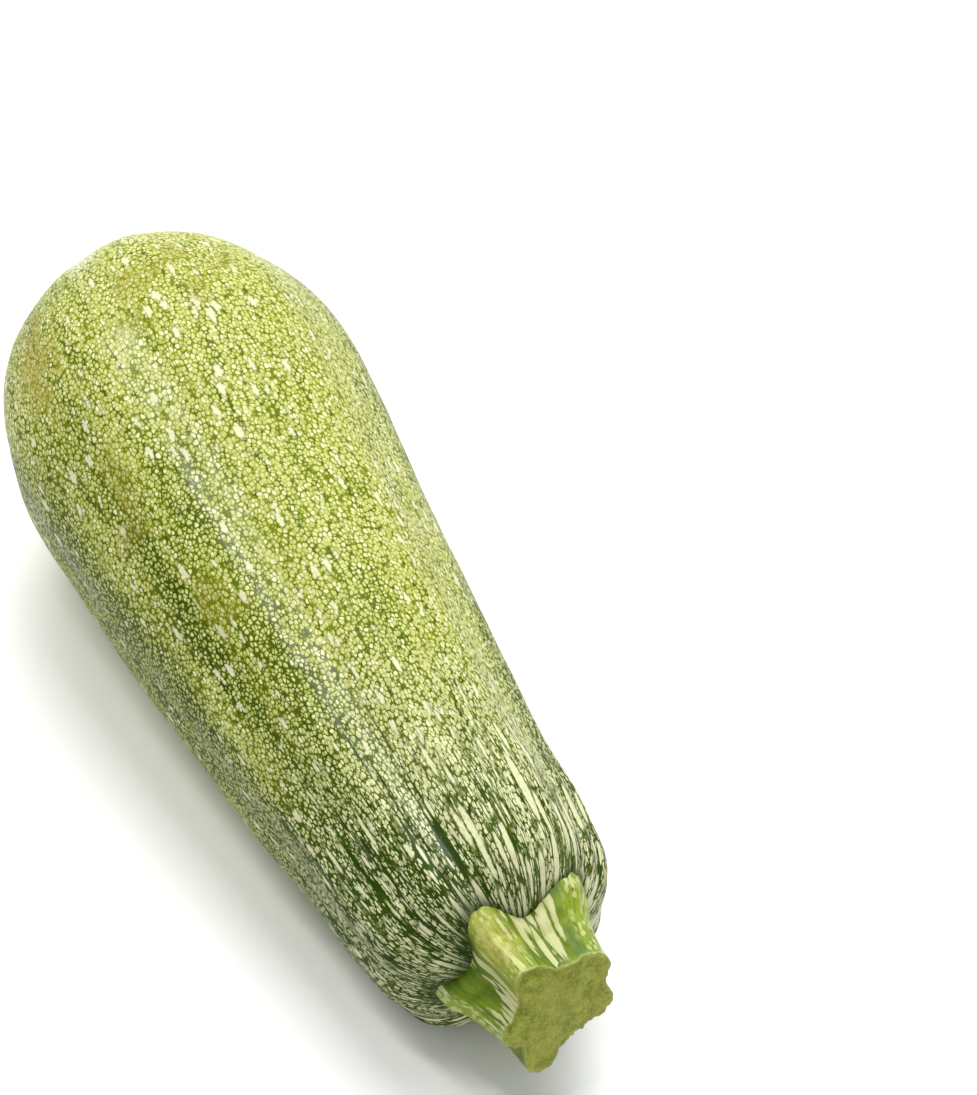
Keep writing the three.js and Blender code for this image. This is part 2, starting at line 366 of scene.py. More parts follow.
# Soft lights: name, place, what it is aimed at, sides in metres, power in watts, colour, the way its
# first side runs
LIGHTS = (
    ("overhead", (-0.5, 0.42, 1.15), (-0.02, 0, 0.03), (1.2, 1.0), 22, (1, 1, 1), (1, 0, 0)),
    ("strip", (-0.33, -0.32, 1.0), (0, 0, 0.05), (1.0, 0.11), 4.6, (1, 1, 0.96), (0.93, 0.37, 0)),
    ("fill", (0.9, 0.1, 0.7), (0, 0, 0.03), (0.7, 0.7), 2, (1, 1, 1), (1, 0, 0)),
)
FLOOR_HALF_SIZE = 12.0
FLOOR_COLOUR = (0.95, 0.95, 0.95, 1)
FLOOR_ROUGHNESS = 0.6
SKY_COLOUR = (0.95, 0.97, 1, 1)
SKY_STRENGTH = 0.4


def smooth(low, high, value):
    t = np.clip((value - low) / (high - low), 0, 1)
    return t * t * (3 - 2 * t)


def away_from(angle, degrees):
    """The turn from a direction given in degrees, between minus and plus half a turn."""
    return np.angle(np.exp(1j * (angle - math.radians(degrees))))


def tapered_radius(s):
    """Radius of the plain fruit before its ends are rounded, s mm from the blossom end."""
    along = np.clip((s - TAPER_START) / (FRUIT_LENGTH - TAPER_START), 0, 1)
    eased = (np.hypot(along, TAPER_EASE) - TAPER_EASE) / (math.hypot(1, TAPER_EASE) - TAPER_EASE)
    from_swell = s - SHOULDER_SWELL_AT
    spread = np.exp(-((from_swell + SHOULDER_SWELL_LEAD) / SHOULDER_SWELL_SPREAD) ** 2)
    swell = SHOULDER_SWELL * np.cos(from_swell / SHOULDER_SWELL_WAVE) * spread
    return GIRTH_RADIUS - (GIRTH_RADIUS - SHOULDER_RADIUS) * eased + swell


def relief(s, angle):
    """Lengthwise ribs and the slight unevenness of a grown fruit, as a height over the plain skin."""
    near_stem = smooth(RIB_DEEPENS_FROM, RIB_DEEPEST_AT, s / FRUIT_LENGTH)
    from_blossom = smooth(0, BLOSSOM_FADE, s / FRUIT_LENGTH)
    rib_depth = RIB_DEPTH + (RIB_DEPTH_AT_STEM - RIB_DEPTH) * near_stem
    ribs = rib_depth * np.cos(RIB_COUNT * angle + RIB_WANDER * np.sin(s / RIB_WANDER_LENGTH))
    broad_wander = BROAD_RIB_WANDER * np.sin(s / BROAD_RIB_WANDER_LENGTH + 1)
    broad_ribs = BROAD_RIB_DEPTH * np.cos(BROAD_RIB_COUNT * angle - BROAD_RIB_TURN + broad_wander)
    swell_along = np.sin(s / BODY_SWELL_LENGTH + BODY_SWELL_START)
    swell = BODY_SWELL * swell_along * np.cos(angle - BODY_SWELL_SIDE)
    dents_along = np.sin(s / DENT_LENGTH + 2 * angle + DENT_START)
    dents = DENT_DEPTH * dents_along * np.cos(3 * angle - s / DENT_DRIFT_LENGTH)
    rib_share = RIB_SHARE_AT_BLOSSOM + (1 - RIB_SHARE_AT_BLOSSOM) * from_blossom
    return (ribs + broad_ribs) * rib_share + (swell + dents) * from_blossom


def fine_relief(s, angle):
    """Shallow grooves and waves too fine for the solids."""
    grooves = 0
    for count, depth, wander, wander_length, start in FINE_GROOVES:
        grooves = grooves + depth * np.sin(count * angle + wander * np.sin(s / wander_length + start))
    waves = FINE_WAVE_DEPTH
    for length, count in FINE_WAVES:
        waves = waves * np.sin(count * angle + s / length)
    near_stem = smooth(GROOVES_DEEPEN_FROM, GROOVES_DEEPEST_AT, s / FRUIT_LENGTH)
    return grooves * (GROOVE_SHARE + GROOVE_SHARE_GAIN * near_stem) + waves


def axis_height(s):
    return GIRTH_RADIUS - BELLY_FALL * (s - BLOSSOM_DOME) - BELLY_FLAT_DEPTH


def axis_sideways(s):
    return SIDEWAYS_BOW * (2 * s / FRUIT_LENGTH - 1) ** 2


def skin_station(station):
    """Distance along the fruit and plain radius, at a station.

    Stations run from 0 at the blossom end's pole, through 1 at the end of its dome and 2 at the start
    of the shoulder, to 3 at the pole under the stem.
    """
    dome_end = FRUIT_LENGTH - SHOULDER_DOME
    blossom_turn = np.clip(station, 0, 1) * math.pi / 2
    shoulder_turn = np.clip(station - 2, 0, 1) * math.pi / 2
    blossom_power = 2 / BLOSSOM_ROUNDNESS
    shoulder_power = 2 / SHOULDER_ROUNDNESS
    blossom_s = BLOSSOM_DOME * (1 - np.clip(np.cos(blossom_turn), 0, 1) ** blossom_power)
    body_s = BLOSSOM_DOME + (dome_end - BLOSSOM_DOME) * (station - 1)
    shoulder_s = dome_end + SHOULDER_DOME * np.sin(shoulder_turn) ** shoulder_power
    s = np.where(station <= 1, blossom_s, np.where(station <= 2, body_s, shoulder_s))
    shoulder_rounding = np.clip(np.cos(shoulder_turn), 0, 1) ** shoulder_power
    return s, tapered_radius(s) * (np.sin(blossom_turn) ** blossom_power * shoulder_rounding)


def scar_relief(radius, angle, fine):
    """How far the corky scar and the shallow ring round it move the skin along the fruit."""
    scar = 1 - smooth(SCAR_RADIUS - SCAR_EDGE_INSIDE, SCAR_RADIUS + SCAR_EDGE_OUTSIDE, radius)
    moat = np.exp(-((radius - SCAR_RADIUS - SCAR_MOAT_OUT) / SCAR_MOAT_WIDTH) ** 2)
    lobes = 1 + SCAR_LOBE_SHARE * np.cos(SCAR_LOBES * angle + SCAR_LOBE_TURN)
    moved = SCAR_MOAT * moat - SCAR_RISE * scar * lobes
    if fine:
        rough = 0
        for count, depth, twist in SCAR_ROUGHNESS:
            rough = rough + depth * np.sin(count * angle + twist * radius)
        moved = moved + rough * scar * np.clip(radius / SCAR_SMOOTH_MIDDLE, 0, 1)
    return moved


def skin_points(station, angle, fine=True):
    """Points of the skin in mm, from arrays of stations and angles of the same shape."""
    s, radius = skin_station(station)
    girth_share = np.clip(radius / RELIEF_FADE_RADIUS, 0, 1)
    full = radius + relief(s, angle) * girth_share
    if fine:
        full = full + fine_relief(s, angle) * girth_share
    x = s + np.where(station < 1, scar_relief(radius, angle, fine), 0)
    y = axis_sideways(s) + full * np.sin(angle)
    z = axis_height(s) + full * np.cos(angle)
    return np.stack([x, y, np.maximum(z, 0)], -1)


def shoulder_points(reach, angle):
    """Where the skin of the shoulder is, at a distance from the fruit's axis."""
    outer = np.full(reach.shape, 2.0)
    inner = np.full(reach.shape, 3.0)
    for _ in range(HALVINGS):
        middle = (outer + inner) / 2
        s, _ = skin_station(middle)
        points = skin_points(middle, angle, fine=False)
        found = np.hypot(points[..., 1] - axis_sideways(s), points[..., 2] - axis_height(s))
        outer = np.where(found > reach, middle, outer)
        inner = np.where(found > reach, inner, middle)
    return skin_points((outer + inner) / 2, angle, fine=False)


def skin_under_stem(reach, angle):
    """Where the skin is under the stem, at a distance and an angle round the stem's own middle."""
    y = reach * np.sin(angle)
    up = STEM_OFFSET_UP + reach * np.cos(angle)
    return shoulder_points(np.hypot(y, up), np.arctan2(y, up))


def ridge_bump(ridge, angle):
    away = np.abs(away_from(angle, ridge["deg"])) / math.radians(ridge["width_deg"])
    return np.exp(-away ** RIDGE_BLUNTNESS)


def ridge_share(angle):
    """1 on the crest of a ridge of the stem, 0 in a valley."""
    return np.clip(sum(ridge_bump(ridge, angle) for ridge in RIDGES), 0, 1)


def lobed_radius(angle, valley, end):
    """How far the stem reaches from its middle at its foot or its cut: valleys with round ridges."""
    radius = np.full_like(angle, valley)
    for ridge in RIDGES:
        radius = radius + (ridge[end] - valley) * ridge_bump(ridge, angle)
    return radius


def foot_radius(angle):
    return lobed_radius(angle, VALLEY_RADIUS_AT_FOOT, "foot")


def cut_radius(angle):
    return lobed_radius(angle, VALLEY_RADIUS_AT_CUT, "cut")


def waves_round(angle, waves):
    """A sum of waves round the stem, each given by its count, height and start."""
    return sum(height * np.sin(count * angle + start) for count, height, start in waves)


def stem_points(x, reach, angle):
    """Points of the stem, which leans towards +Y as it rises from the shoulder."""
    risen = np.maximum(0, x - FRUIT_LENGTH) / STEM_HEIGHT
    y = axis_sideways(FRUIT_LENGTH) + STEM_LEAN * risen + reach * np.sin(angle)
    z = axis_height(FRUIT_LENGTH) + STEM_OFFSET_UP + reach * np.cos(angle)
    return np.stack([x + 0 * y, y, z], -1)


def stem_side(up, angle, torn_share=1):
    """Points on the side of the stem: up is 0 at the skin and 1 at the cut."""
    foot_reach = foot_radius(angle)
    cut_reach = cut_radius(angle)
    foot = skin_under_stem(foot_reach, angle)
    lip_up = LIP_HEIGHT / STEM_HEIGHT
    lip = LIP_BULGE * np.sin(math.pi * np.clip(up / (2 * lip_up), 0, 1))
    reach = cut_reach + (foot_reach - cut_reach) * (1 - up) ** FLARE_POWER + lip
    middle_share = np.sin(math.pi * np.clip(up, 0, 1))
    reach = reach + middle_share * waves_round(angle, STEM_FLUTES)
    tilt = math.tan(math.radians(CUT_TILT_DEG)) * cut_reach * np.cos(angle)
    foot_x = foot[..., 0] - FOOT_SUNK
    cut_x = FRUIT_LENGTH + STEM_HEIGHT - tilt + waves_round(angle, TORN_EDGE) * torn_share
    return stem_points(foot_x + (cut_x - foot_x) * up, reach, angle)


def stem_cut(inward, angle):
    """Points on the cut face: inward is 0 at its edge and 1 at its middle."""
    edge = stem_side(np.ones_like(angle), angle, (1 - inward) ** TORN_FADE_POWER)
    middle = stem_points(np.array(FRUIT_LENGTH + STEM_HEIGHT, float), np.array(0.0), np.array(0.0))
    points = edge + (middle - edge) * inward[..., None]
    uneven = GRIT_HEIGHT
    for count, twist in GRIT_WAVES:
        uneven = uneven * np.sin(count * angle + twist * inward)
    for count, height, twist, start in CUT_BUMPS:
        uneven = uneven + height * np.sin(count * angle + twist * inward + start)
    fade = (1 - inward) * np.minimum(1, CUT_BUMP_RAMP * inward)
    groove = RIM_GROOVE_DEPTH * np.exp(-((inward - RIM_GROOVE_AT) / RIM_GROOVE_WIDTH) ** 2)
    points[..., 0] += CUT_DOME * (1 - (1 - inward) ** 2) + uneven * fade - groove
    return points


def closed_mesh(name, rings, first_pole, last_pole):
    """A closed mesh over a grid of rings (ring, side, xyz) in mm, with one unwrap that fills the square.

    The unwrap runs round the piece and along it, and its seam is where the rings start. It is kept
    for the export, which would otherwise cut the surface into many patches.
    """
    ring_count, sides, _ = rings.shape
    points = np.vstack([first_pole[None], rings.reshape(-1, 3), last_pole[None]])
    last = len(points) - 1
    steps = np.linalg.norm(np.diff(np.concatenate([
        np.repeat(first_pole[None, None], sides, 1), rings, np.repeat(last_pole[None, None], sides, 1)
    ]), axis=0), axis=-1).mean(1)
    along = np.concatenate([[0], np.cumsum(steps)]) / steps.sum()
    ring = np.arange(ring_count - 1)[:, None]
    side = np.arange(sides)[None, :]
    after = (side + 1) % sides
    corner = 1 + ring * sides
    quads = np.stack([corner + side, corner + sides + side, corner + sides + after, corner + after], -1)
    u0 = np.broadcast_to(side / sides, quads.shape[:2])
    u1 = np.broadcast_to((side + 1) / sides, quads.shape[:2])
    v0 = np.broadcast_to(along[1:-2][:, None], quads.shape[:2])
    v1 = np.broadcast_to(along[2:-1][:, None], quads.shape[:2])
    corners = [np.stack(pair, -1) for pair in ((u0, v0), (u0, v1), (u1, v1), (u1, v0))]
    quad_uv = np.stack(corners, 2)
    side = np.arange(sides)
    after = (side + 1) % sides
    low = np.stack([np.zeros(sides, int), 1 + side, 1 + after], -1)
    base = 1 + (ring_count - 1) * sides
    high = np.stack([np.full(sides, last), base + after, base + side], -1)
    u_low = np.stack([(side + 0.5) / sides, side / sides, (side + 1) / sides], -1)
    v_low = np.broadcast_to([along[0], along[1], along[1]], u_low.shape)
    u_high = np.stack([(side + 0.5) / sides, (side + 1) / sides, side / sides], -1)
    v_high = np.broadcast_to([along[-1], along[-2], along[-2]], u_high.shape)
    faces = quads.reshape(-1, 4).tolist() + low.tolist() + high.tolist()
    low_uv = np.stack([u_low, v_low], -1)
    high_uv = np.stack([u_high, v_high], -1)
    uv = np.concatenate([part.reshape(-1, 2) for part in (quad_uv, low_uv, high_uv)])
    mesh = bpy.data.meshes.new(name)
    mesh.from_pydata((points * MM).tolist(), [], faces)
    layer = mesh.uv_layers.new(name="OFBake")
    layer.data.foreach_set("uv", uv.astype(np.float32).ravel())
    mesh.polygons.foreach_set("use_smooth", np.ones(len(mesh.polygons), bool))
    mesh.update()
    return mesh


def set_attribute(mesh, name, values):
    """A float or vector value for each vertex, for the materials to read."""
    values = np.asarray(values, np.float32)
    kind = "FLOAT_VECTOR" if values.ndim == 2 else "FLOAT"
    layer = mesh.attributes.new(name, kind, "POINT")
    layer.data.foreach_set("vector" if values.ndim == 2 else "value", values.ravel())


def make_piece(mesh, node, material, shift):
    """Moves a mesh to its place in the frame, gives it its material, attaches it to the root body and hides
    the node's solid.
    """
    points = np.empty(len(mesh.vertices) * 3)
    mesh.vertices.foreach_get("co", points)
    points = points.reshape(-1, 3) + shift
    mesh.vertices.foreach_set("co", points.ravel())
    mesh.update()
    piece = bpy.data.objects.new(mesh.name, mesh)
    bpy.context.collection.objects.link(piece)
    mesh.materials.append(material)
    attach(piece, "root")
    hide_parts(node)


# Short forms for shader nodes. Bare numbers in their calls are levels of noise, shares of a mix, and
# how far a place is pushed about.

def add_node(tree, kind, inputs=None, **settings):
    """A shader node with its settings. Its inputs go by name or number: a socket is linked, a value set."""
    made = tree.nodes.new(kind)
    for key, value in settings.items():
        setattr(made, key, value)
    for key, value in (inputs or {}).items():
        if isinstance(value, bpy.types.NodeSocket):
            tree.links.new(value, made.inputs[key])
        else:
            made.inputs[key].default_value = value
    return made


def attribute(tree, name, output="Fac"):
    return add_node(tree, "ShaderNodeAttribute", attribute_name=name).outputs[output]


def maths(tree, operation, a, b=0.0):
    return add_node(tree, "ShaderNodeMath", {0: a, 1: b}, operation=operation).outputs[0]


def plus(tree, a, b):
    return maths(tree, "ADD", a, b)


def minus(tree, a, b):
    return maths(tree, "SUBTRACT", a, b)


def times(tree, a, b):
    return maths(tree, "MULTIPLY", a, b)


def larger(tree, a, b):
    return maths(tree, "MAXIMUM", a, b)


def step_between(tree, value, low, high, out_low=0.0, out_high=1.0):
    """A smooth step: out_low where value is under low, out_high where it is over high."""
    made = add_node(tree, "ShaderNodeMapRange", {
        "Value": value, "From Min": low, "From Max": high, "To Min": out_low, "To Max": out_high,
    }, interpolation_type="SMOOTHSTEP")
    return made.outputs["Result"]


def vector_maths(tree, operation, a, b):
    return add_node(tree, "ShaderNodeVectorMath", {0: a, 1: b}, operation=operation).outputs[0]


def drawn_out(tree, vector, share):
    """A place whose third part, the length, keeps only a share, so that what is drawn there is long."""
    return vector_maths(tree, "MULTIPLY", vector, (1, 1, share))


def noise(tree, vector, spacing, detail=2.0, roughness=0.5):
    """Noise whose features are about the spacing apart, in mm."""
    return add_node(tree, "ShaderNodeTexNoise", {
        "Vector": vector, "Scale": 1 / spacing, "Detail": detail, "Roughness": roughness,
    }).outputs["Fac"]


def cells(tree, vector, spacing, feature="F1"):
    return add_node(tree, "ShaderNodeTexVoronoi", {"Vector": vector, "Scale": 1 / spacing}, feature=feature)


def random_of(tree, cell):
    """Three random numbers, the same all over each cell."""
    return add_node(tree, "ShaderNodeSeparateXYZ", {0: cell.outputs["Color"]}).outputs


def srgb(red, green, blue):
    """A colour given as 0 to 255 screen values."""
    def linear(value):
        value = value / 255
        return value / 12.92 if value <= 0.04045 else ((value + 0.055) / 1.055) ** 2.4
    return (linear(red), linear(green), linear(blue), 1)


def mix(tree, share, a, b):
    """A mix of two colours, each a socket or screen values."""
    first, second = (ink if isinstance(ink, bpy.types.NodeSocket) else srgb(*ink) for ink in (a, b))
    return add_node(tree, "ShaderNodeMix", {0: share, 6: first, 7: second}, data_type="RGBA").outputs[2]


def blend_numbers(tree, share, a, b):
    return add_node(tree, "ShaderNodeMix", {0: share, 2: a, 3: b}, data_type="FLOAT").outputs[0]


def warped(tree, vector, spacing, amount):
    """The vector pushed about by noise, by up to amount mm."""
    push = add_node(tree, "ShaderNodeTexNoise", {"Vector": vector, "Scale": 1 / spacing, "Detail": 1.0})
    centred = vector_maths(tree, "SUBTRACT", push.outputs["Color"], (0.5, 0.5, 0.5))
    pushed = vector_maths(tree, "MULTIPLY", centred, (2 * amount,) * 3)
    return vector_maths(tree, "ADD", vector, pushed)


def new_material(name):
    material = bpy.data.materials.new(name)
    material.use_nodes = True
    tree = material.node_tree
    tree.nodes.clear()
    return material, tree


def finish_material(tree, colour, height, bump_mm, roughness, **shader):
    """The surface of a material: colour, roughness, relief, and other inputs of its shader by name."""
    bump = add_node(tree, "ShaderNodeBump", {"Height": height, "Strength": 1.0, "Distance": bump_mm * MM})
    surface = add_node(tree, "ShaderNodeBsdfPrincipled", {
        "Base Color": colour, "Roughness": roughness, "Normal": bump.outputs[0], **shader,
    })
    add_node(tree, "ShaderNodeOutputMaterial", {"Surface": surface.outputs[0]})


# The skin's pattern

def find_bands(tree, girdle, dark):
    """Lengthwise bands that wander a little, plus painted shade and light: 1 in the darkest, 0 in the
    lightest.
    """
    bands = noise(tree, drawn_out(tree, girdle, 0.1), BAND_SPACING, 3.0, 0.55)
    return step_between(tree, plus(tree, bands, times(tree, dark, 0.3)), 0.4, 0.78)


def find_mosaic(tree, skin, girdle, along, bands_and_painted_shade, near_stem):
    """Pale rounded cells in a green net. The net is uneven, and thicker in the dark bands and painted shade.
    """
    place = warped(tree, skin, 1.1, 0.28)
    cell = cells(tree, place, CELL_SPACING)
    edge_distance = cells(tree, place, CELL_SPACING, "DISTANCE_TO_EDGE").outputs["Distance"]
    from_middle = minus(tree, 0.42, cell.outputs["Distance"])
    roundness = times(tree, from_middle, blend_numbers(tree, near_stem, 0.4, 0.7))
    thick = blend_numbers(tree, bands_and_painted_shade, -0.065, blend_numbers(tree, near_stem, 0.07, 0.03))
    net_width = noise(tree, drawn_out(tree, girdle, 0.1), NET_WIDTH_SPACING, 3.0, 0.6)
    unevenness = step_between(tree, along, 0.1, 0.7, 0.28, 0.38)
    thick = plus(tree, thick, times(tree, minus(tree, net_width, 0.5), unevenness))
    above_net = minus(tree, plus(tree, edge_distance, roundness), thick)
    return {
        "cell": step_between(tree, above_net, -0.02, 0.13),
        "middle": step_between(tree, above_net, 0.05, 0.34),
        "bulge": minus(tree, edge_distance, 0.2),
        "random": random_of(tree, cell),
    }


def roughened(tree, edge, ragged, ragged_share, bulge, bulge_share):
    """The edge of a mark made ragged by noise, and by the cells of the mosaic that it covers."""
    edge = plus(tree, edge, times(tree, ragged, ragged_share))
    return plus(tree, edge, times(tree, bulge, bulge_share))


def find_flecks(tree, girdle, ragged, bulge):
    """Cream flecks in rows along the fruit: above 0 inside a fleck."""
    fleck = cells(tree, warped(tree, drawn_out(tree, girdle, 0.36), 1.4, 0.3), FLECK_SPACING)
    size = step_between(tree, random_of(tree, fleck)[0], 0.0, 1.0, 0.0, 0.34)
    edge = minus(tree, size, fleck.outputs["Distance"])
    return roughened(tree, edge, ragged, 0.36, bulge, 0.4)


def find_streaks(tree, girdle, along, dark, near_stem, ragged, bulge):
    """Long cream streaks near the stem, broad and thin ones: above 0 inside a streak."""
    broad = cells(tree, warped(tree, drawn_out(tree, girdle, 0.15), 1.6, 0.2), BROAD_STREAK_SPACING)
    size = step_between(tree, random_of(tree, broad)[1], 0.1, 1.0, 0.1, 0.5)
    size = times(tree, minus(tree, size, times(tree, dark, 0.13)), near_stem)
    size = plus(tree, size, times(tree, step_between(tree, along, *CLOSE_TO_STEM), 0.09))
    broad_edge = minus(tree, size, broad.outputs["Distance"])
    thin = cells(tree, warped(tree, drawn_out(tree, girdle, 0.18), 1.0, 0.15), THIN_STREAK_SPACING)
    size = step_between(tree, random_of(tree, thin)[2], 0.0, 1.0, -0.15, 0.48)
    size = times(tree, minus(tree, size, times(tree, dark, 0.05)), near_stem)
    thin_edge = minus(tree, size, thin.outputs["Distance"])
    return roughened(tree, larger(tree, broad_edge, thin_edge), ragged, 0.16, bulge, 0.14)


def find_dark_lines(tree, girdle, along, dark, near_stem, ragged):
    """Thin dark lines that run lengthwise and gather under the stem."""
    width = step_between(tree, along, 0.5, 0.92, -0.007, 0.018)
    width = plus(tree, width, times(tree, times(tree, dark, near_stem), 0.007))
    lines = 0.0
    for spacing, length_share in DARK_LINES:
        level = noise(tree, drawn_out(tree, girdle, length_share), spacing, 1.0)
        from_line = maths(tree, "ABSOLUTE", minus(tree, level, 0.5))
        edge = plus(tree, minus(tree, width, from_line), times(tree, ragged, 0.016))
        lines = larger(tree, lines, step_between(tree, edge, -0.005, 0.007))
    return lines


def net_colour(tree, girdle, bands_and_painted_shade, near_stem):
    # The net darker in the bands and in painted shade
    net = mix(tree, bands_and_painted_shade, BRIGHT_NET, DEEP_NET)
    threads = noise(tree, drawn_out(tree, girdle, 0.06), THREAD_SPACING, 3.0, 0.6)
    net = mix(tree, times(tree, step_between(tree, threads, 0.46, 0.62), 0.7), net, DEEP_NET)
    return mix(tree, times(tree, near_stem, 0.8), net, STEM_END_NET)


def cell_colour(tree, mosaic, bands_and_painted_shade, near_stem):
    pale = mix(tree, mosaic["middle"], LIME_CELL, PALE_CELL)
    bright_cell = step_between(tree, mosaic["random"][1], 0.62, 0.86)
    pale = mix(tree, times(tree, bright_cell, mosaic["middle"]), pale, CREAM)
    pale = mix(tree, step_between(tree, mosaic["random"][0], 0.55, 1.0, 0.0, 0.5), pale, LIME_CELL)
    # Greener cells in the bands and in painted shade, a shaded copy of their colour
    pale = mix(tree, times(tree, bands_and_painted_shade, 0.3), pale, GREEN_CELL_AND_SHADE)
    return mix(tree, times(tree, near_stem, 0.55), pale, STREAK_CREAM)


def with_flecks(tree, colour, edge, net):
    """Cream flecks with a faint green outline."""
    colour = mix(tree, step_between(tree, edge, -0.1, -0.02, 0.0, 0.5), colour, net)
    return mix(tree, times(tree, step_between(tree, edge, -0.05, 0.1), 0.82), colour, CREAM)


def with_streaks(tree, colour, skin, edge, near_stem, net):
    """Cream streaks with a green outline near the stem."""
    outline = times(tree, step_between(tree, edge, -0.16, -0.06), near_stem)
    colour = mix(tree, times(tree, outline, 0.85), colour, net)
    tone = noise(tree, skin, STREAK_TONE_SPACING, 3.0, 0.6)
    streak = mix(tree, step_between(tree, tone, 0.3, 0.55), PALE_CELL, STREAK_CREAM)
    return mix(tree, times(tree, step_between(tree, edge, 0.0, 0.1), 0.95), colour, streak)


def with_patches(tree, colour, girdle):
    """Blurred olive patches, and scuffs."""
    clouds = noise(tree, girdle, PATCH_SPACING, 4.0, 0.6)
    patch = step_between(tree, plus(tree, clouds, times(tree, attribute(tree, "olive"), 0.3)), 0.58, 0.8)
    colour = mix(tree, times(tree, patch, 0.42), colour, OLIVE_PATCH)
    grain = noise(tree, girdle, SCUFF_SPACING, 4.0, 0.65)
    scuffs = step_between(tree, plus(tree, grain, times(tree, attribute(tree, "scuff"), 0.35)), 0.68, 0.84)
    return mix(tree, times(tree, scuffs, 0.5), colour, SCUFF)


def skin_height(tree, skin, girdle, cell_middle, scar_grain):
    """Relief finer than the mesh: cells that stand up, fine pits, dents, and the grain of the scar."""
    pits = times(tree, noise(tree, skin, PIT_SPACING, 3.0, 0.6), 0.25)
    height = plus(tree, times(tree, cell_middle, 0.3), pits)
    height = plus(tree, height, times(tree, noise(tree, girdle, DENT_SPACING, 2.0), 1.6))
    return plus(tree, height, times(tree, scar_grain, 3.0))


def skin_material():
    material, tree = new_material("squash_skin")
    skin = attribute(tree, "skin", "Vector")
    girdle = attribute(tree, "girdle", "Vector")
    along = attribute(tree, "along")
    # Darker and lighter places, partly the skin's own bands and partly painted shade and light
    dark = attribute(tree, "dark")
    scar = attribute(tree, "scar")
    near_stem = step_between(tree, along, *NEAR_STEM)
    ragged = minus(tree, noise(tree, drawn_out(tree, girdle, 0.5), RAGGED_SPACING, 3.0, 0.6), 0.5)

    bands_and_painted_shade = find_bands(tree, girdle, dark)
    mosaic = find_mosaic(tree, skin, girdle, along, bands_and_painted_shade, near_stem)
    lines = find_dark_lines(tree, girdle, along, dark, near_stem, ragged)
    flecks = find_flecks(tree, girdle, ragged, mosaic["bulge"])
    streaks = find_streaks(tree, girdle, along, dark, near_stem, ragged, mosaic["bulge"])

    net = net_colour(tree, girdle, bands_and_painted_shade, near_stem)
    colour = mix(tree, mosaic["cell"], net, cell_colour(tree, mosaic, bands_and_painted_shade, near_stem))
    colour = mix(tree, lines, colour, DARK_LINE_AND_SHADE)
    colour = with_flecks(tree, colour, flecks, net)
    colour = with_streaks(tree, colour, skin, streaks, near_stem, net)
    # Painted shade on the skin round the stem's foot, in the dark lines' colour
    colour = mix(tree, times(tree, attribute(tree, "foot"), 0.8), colour, DARK_LINE_AND_SHADE)
    colour = with_patches(tree, colour, girdle)
    cork_grain = noise(tree, skin, CORK_SPACING, 4.0, 0.6)
    cork = mix(tree, step_between(tree, cork_grain, 0.35, 0.7), DARK_CORK, CORK)
    colour = mix(tree, scar, colour, cork)

    height = skin_height(tree, skin, girdle, mosaic["middle"], times(tree, cork_grain, scar))
    wear = step_between(tree, noise(tree, girdle, WEAR_SPACING, 3.0), 0.35, 0.7)
    roughness = blend_numbers(tree, scar, blend_numbers(tree, wear, 0.38, 0.5), 0.85)
    rubbed = step_between(tree, noise(tree, girdle, RUBBED_SPACING, 4.0, 0.6), 0.38, 0.6, 0.35, 1.0)
    coat = times(tree, rubbed, times(tree, attribute(tree, "polish"), 0.75))
    finish_material(tree, colour, height, SKIN_BUMP, roughness, **{
        "Specular IOR Level": 0.07, "Coat Weight": coat, "Coat Roughness": 0.23, "Coat IOR": 1.45,
    })
    return material


# The stem's pattern

def stem_green(tree, place, ridge, crest, up):
    """The green of the stem's sides: lighter on the crests, and painted shade darker in the valleys and at
    the foot.
    """
    broad = step_between(tree, noise(tree, place, STEM_TONE_SPACING, 3.0), 0.35, 0.65)
    green = mix(tree, broad, STEM_GREEN, STEM_LIME)
    # Painted shade at the stem's foot
    green = mix(tree, times(tree, step_between(tree, up, 0.35, 0.0), 0.5), green, STEM_FOOT_SHADE)
    green = mix(tree, times(tree, crest, 0.65), green, STEM_CREST)
    # Painted shade in the valleys between the ridges
    green = mix(tree, times(tree, step_between(tree, ridge, 0.35, 0.05), 0.5), green, STEM_VALLEY_SHADE)
    lines = noise(tree, drawn_out(tree, place, 0.1), STEM_LINE_SPACING, 2.0)
    return mix(tree, times(tree, step_between(tree, lines, 0.52, 0.64), 0.6), green, STEM_DARK_LINE)


def stem_streaks(tree, place, ridge, crest):
    """Cream streaks, broadest in the valleys, small on the crests."""
    streak = cells(tree, warped(tree, drawn_out(tree, place, 0.14), 1.2, 0.22), STEM_STREAK_SPACING)
    size = step_between(tree, random_of(tree, streak)[0], 0.0, 1.0, 0.2, 0.62)
    flank = minus(tree, step_between(tree, ridge, 0.1, 0.45), step_between(tree, ridge, 0.7, 1.0))
    size = times(tree, size, blend_numbers(tree, flank, 1.4, 0.8))
    size = times(tree, size, blend_numbers(tree, crest, 1.0, 0.55))
    ragged = minus(tree, noise(tree, drawn_out(tree, place, 0.4), STEM_RAGGED_SPACING, 3.0, 0.6), 0.5)
    edge = plus(tree, minus(tree, size, streak.outputs["Distance"]), times(tree, ragged, 0.4))
    return step_between(tree, edge, -0.02, 0.16)


